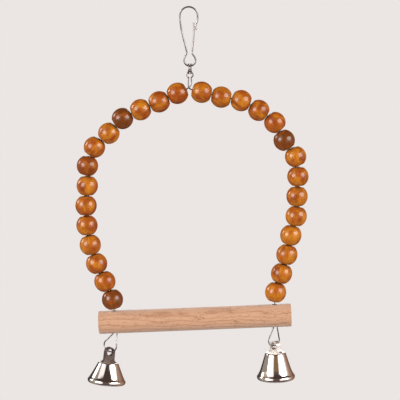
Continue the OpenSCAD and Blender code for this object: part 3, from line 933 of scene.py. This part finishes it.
class SWING_OT_bells(bpy.types.Operator):
    """Spins the two bells, bends their hangers and sets their staples"""

    bl_idname = "swing.bells"
    bl_label = "Bells"

    def execute(self, context):
        for k, side in enumerate(SIDES):
            name = f"bell_{side}"
            shine = sizes("bells").hanger_shine[k]
            for part, slot, finish, tone, make in (
                ("shell", "bell_nickel", "bell_nickel", 1, self.shell),
                ("hanger", "bell_nickel", "bell_hanger", shine, self.hanger),
                ("staple", "clapper_wire", "clapper_wire", 1, self.staple),
            ):
                obj = make(k, f"{name}_{part}_metal")
                mark(obj, shift=40 * k, tone=tone)
                settle(obj, name, slot, f"{name}_{part}", crown_matrix(k), finish)
        return {"FINISHED"}

    def shell(self, k, name):
        """A flat crown, a ledge, a plain cone, a flare and a rolled band at the rim."""
        s = sizes("bells")
        h, crown, waist, rim = s.height[k], s.crown_d / 2, s.waist_d / 2, s.rim_d / 2
        cone = h - s.flare_h - s.band_h
        top = arc(flat(crown - s.shoulder_r, -s.shoulder_r), s.shoulder_r, 90, 10, 8)
        corner = flat(waist, -cone)
        middle = flat(rim - s.band_round, s.band_h / 2 - h)
        oval = arc(flat(0, 0), 1, 66, -90, 14)
        band = [middle + flat(s.band_round * p.x, s.band_h / 2 * p.z) for p in oval]
        foot = band[0] + flat(-s.band_round * 0.12, s.band_round * 0.1)
        above, below = corner.lerp(top[-1], 0.2), corner.lerp(foot, 0.55)
        steps = (0, 0.2, 0.4, 0.6, 0.8, 1)
        turn = [above.lerp(corner, t).lerp(corner.lerp(below, t), t) for t in steps]
        outside = [flat(0, 0)] + top + turn + [foot] + band
        inner = rim - 2 * s.wall
        inside = [flat(inner, -h), flat(inner, s.band_h - h), flat(waist - s.wall, -cone)]
        inside += [flat(crown - s.wall, -s.shoulder_r - s.wall)]
        inside += [flat(crown - s.wall - s.shoulder_r, -s.wall)]
        outline = [(p.x, p.z) for p in outside + inside + [flat(0, -s.wall)]]
        return turned(name, outline, 160, closed=False)

    def hanger(self, k, name):
        """A tab with a round top and a round hole, which spreads into a foot at each side."""
        s = sizes("bells")
        r = s.hanger_w / 2
        eye = flat(0, s.hanger_h[k] - r)
        low = s.hanger_rim / 4
        toe, ankle = flat(r + s.foot_l, low), flat(r, low + s.foot_l)
        heel = flat(r + s.foot_l * 0.25, low * 1.5)
        side = [flat(toe.x, 0), toe] + bend(toe, toe.lerp(heel, 0.7), heel.lerp(ankle, 0.3), ankle, 8)
        line = side + arc(eye, r, 0, 180, 40)[1:-1] + [flat(-p.x, p.z) for p in reversed(side)]
        hole = arc(eye, r - s.hanger_rim, 0, 360, 48)[:-1]
        ahead = Vector((0, -s.hanger_t / 2, 0))
        obj = drawn(name, [p + ahead for p in line], closed=True)
        inner = drawn(name + "_hole", [p + ahead for p in hole], closed=True)
        hold(obj)
        inner.select_set(True)
        bpy.ops.object.join()
        bpy.ops.object.mode_set(mode="EDIT")
        bpy.ops.mesh.select_all(action="SELECT")
        bpy.ops.mesh.fill()
        bpy.ops.mesh.select_all(action="SELECT")
        bpy.ops.mesh.extrude_region_move(TRANSFORM_OT_translate={"value": (0, s.hanger_t, 0)})
        bpy.ops.object.mode_set(mode="OBJECT")
        tidy(obj)
        edges = obj.modifiers.new("edges", "BEVEL")
        edges.width, edges.segments = s.hanger_rim * 0.2, 3
        edges.limit_method, edges.angle_limit = "ANGLE", radians(50)
        apply_all(obj)
        tidy(obj)
        return obj

    def staple(self, k, name):
        """A small bow of wire whose legs pass through the crown."""
        s = sizes("bells")
        low = -s.wall - s.staple_leg
        line = [flat(-s.staple_r, 0)] + arc(flat(0, low), s.staple_r, 180, 360, 24) + [flat(s.staple_r, 0)]
        return wire(name, line, s.staple_wire)


class SWING_OT_clappers(bpy.types.Operator):
    """Bends the clappers' rods and turns their balls"""

    bl_idname = "swing.clappers"
    bl_label = "Clappers"

    def execute(self, context):
        s = sizes("bells")
        eye_z = -s.wall - s.staple_leg - s.staple_r + (s.staple_wire + s.rod) / 2 + s.play - s.rod_eye_r
        for k, side in enumerate(SIDES):
            name = f"clapper_{side}"
            ball_z = s.ball_rise - s.height[k]
            ring = [Vector((0, p.x, p.z)) for p in arc(flat(0, eye_z), s.rod_eye_r, -90, 262, 40)]
            rod = wire(name + "_rod_wire", [Vector((0, 0, ball_z))] + ring, s.rod)
            mark(rod)
            settle(rod, name, "clapper_wire", name + "_rod", crown_matrix(k))

            hole = s.rod / 2 + s.play
            edge = degrees(acos(hole / (s.ball_d / 2)))
            outline = [(p.x, p.z) for p in arc(flat(0, 0), s.ball_d / 2, edge, -90, 32)]
            outline += [(0, 0), (hole, 0)]
            ball = turned(name + "_ball_metal", outline, 48)
            mark(ball, shift=20 * k, tone=1)
            ball.data.transform(Matrix.Translation((0, 0, ball_z)))
            settle(ball, name, "clapper_ball", name + "_ball", crown_matrix(k))
        return {"FINISHED"}


class SWING_OT_stage(bpy.types.Operator):
    """Sets the camera, the soft lamps, the pale floor and the backdrop"""

    bl_idname = "swing.stage"
    bl_label = "Stage"

    def execute(self, context):
        s = sizes("stage")
        aim = Vector(s.aim)
        away = Vector((0, -cos(s.height), sin(s.height)))
        data = bpy.data.cameras.new("camera")
        data.sensor_width = 36
        data.lens = data.sensor_width * s.distance / s.width
        data.clip_start, data.clip_end = 0.01, 50
        camera = bpy.data.objects.new("camera", data)
        camera.location = aim + s.distance * away
        camera.rotation_euler = (pi / 2 - s.height, 0, 0)
        context.scene.collection.objects.link(camera)
        context.scene.camera = camera

        for name, lamp in LAMPS.items():
            self.lamp(name, *lamp)
        self.floor(s)
        self.world(s)
        context.scene.view_settings.view_transform = "Standard"
        return {"FINISHED"}

    def lamp(self, name, turn, height, width, tall, power, mirrored):
        """A soft lamp that faces the swing."""
        s = sizes("stage")
        a, e = radians(turn), radians(height)
        way = Vector((sin(a) * cos(e), -cos(a) * cos(e), sin(e)))
        data = bpy.data.lights.new(name, "AREA")
        data.shape = "ELLIPSE"
        data.size, data.size_y = width * s.lamp_distance, tall * s.lamp_distance
        data.energy, data.color = power, LAMP_TINT
        lamp = bpy.data.objects.new(name, data)
        lamp.location = Vector(s.aim) + s.lamp_distance * way
        lamp.rotation_euler = way.to_track_quat("Z", "Y").to_euler()
        lamp.visible_camera = False
        lamp.visible_glossy = mirrored
        bpy.context.scene.collection.objects.link(lamp)

    def floor(self, s):
        """A round pale floor far below the swing, which melts into the backdrop."""
        deselect()
        bpy.ops.mesh.primitive_circle_add(
            vertices=96, radius=s.floor_r, fill_type="NGON", location=(0, 0, -s.floor_drop)
        )
        obj = bpy.context.object
        obj.name = "floor"
        bpy.ops.object.mode_set(mode="EDIT")
        bpy.ops.mesh.select_all(action="SELECT")
        bpy.ops.mesh.inset(thickness=s.floor_border)
        bpy.ops.object.mode_set(mode="OBJECT")
        paint = Paint("floor_paper")
        place = paint.node("ShaderNodeTexCoord", {}, {}, "Object")
        cloud = paint.noise(place, 40, 3, 0.6)
        paint.set("Base Color", (cloud * 0.1).mix(s.floor_pale, s.floor_dull))
        paint.set("Roughness", 0.9)
        glow = paint.node("ShaderNodeEmission", {}, {"Color": s.backdrop, "Strength": 1.0})
        body = Term(paint, paint.shader.outputs[0])
        both = paint.node("ShaderNodeMixShader", {}, {0: paint.camera_sees(), 1: body, 2: glow})
        paint.feed(paint.tree.nodes["Material Output"].inputs["Surface"], both)
        obj.data.materials.append(paint.material)

    def world(self, s):
        """The backdrop for the camera, and for the pieces a dark room with pale screens around it."""
        world = bpy.data.worlds.new("studio")
        bpy.context.scene.world = world
        paint = Nodes(world)
        x, y, z = paint.parts(paint.node("ShaderNodeTexCoord", {}, {}, "Generated"))
        # Degrees to the right of the camera, and degrees above the swing
        turn = paint.maths("ARCTAN2", x, 0 - y) * degrees(1)
        rise = paint.maths("ARCSINE", z) * degrees(1)

        room = rise.between(14, 25).mix(ROOM["wall"], ROOM["wall_band"])
        room = turn.step(60, 100).mix(room, ROOM["right_wall"])
        room = turn.step(105, 150).mix(room, ROOM["right_corner"])
        room = turn.between(-128, -60, 6).mix(room, ROOM["left_wall"])
        room = (1 - turn.step(-136, -124)).mix(room, ROOM["left_corner"])
        room = (turn.between(-112, -82) * rise.between(16, 32)).mix(room, ROOM["left_patch"])

        left = turn.between(-72, -20)
        right = turn.step(18, 24) * (1 - turn.step(76, 106))
        room = ((left + right) * rise.step(-17, -11)).mix(room, ROOM["screen"])

        # The ceiling starts higher on the left
        ceiling = 33 + (1 - turn.step(-28, -16)) * 13
        room = (rise - ceiling).step(0, 6).mix(room, ROOM["ceiling"])

        behind = y.step(0.9, 0.96)
        room = behind.mix(room, ROOM["behind"])
        room = (behind * rise.step(4, 9)).mix(room, ROOM["behind_high"])
        background = paint.tree.nodes["Background"].inputs["Color"]
        paint.feed(background, paint.camera_sees().mix(room, s.backdrop))


class SWING_PT_panel(bpy.types.Panel):
    """Lists the pieces of the swing and their sizes"""

    bl_idname = "SWING_PT_panel"
    bl_label = "Bird Swing"
    bl_space_type = "VIEW_3D"
    bl_region_type = "UI"
    bl_category = "Swing"

    def draw(self, context):
        for operator in OPERATORS:
            self.layout.operator(operator.bl_idname)
        for name, group in GROUPS.items():
            box = self.layout.box()
            box.label(text=name.capitalize())
            for key in group.__annotations__:
                box.prop(sizes(name), key)


OPERATORS = (
    SWING_OT_hook,
    SWING_OT_ring,
    SWING_OT_wires,
    SWING_OT_beads,
    SWING_OT_perch,
    SWING_OT_bells,
    SWING_OT_clappers,
    SWING_OT_stage,
)


def register():
    """Registers the sizes, the operators and the panel."""
    for cls in (*GROUPS.values(), *OPERATORS, SWING_PT_panel):
        bpy.utils.register_class(cls)
    for name, group in GROUPS.items():
        setattr(bpy.types.Scene, "swing_" + name, PointerProperty(type=group))


def unregister():
    """Takes them away again."""
    for name in GROUPS:
        delattr(bpy.types.Scene, "swing_" + name)
    for cls in (SWING_PT_panel, *reversed(OPERATORS), *reversed(GROUPS.values())):
        bpy.utils.unregister_class(cls)


def main():
    """Builds every piece in order."""
    register()
    for operator in OPERATORS:
        group, name = operator.bl_idname.split(".")
        getattr(getattr(bpy.ops, group), name)()


if __name__ == "__main__":
    main()
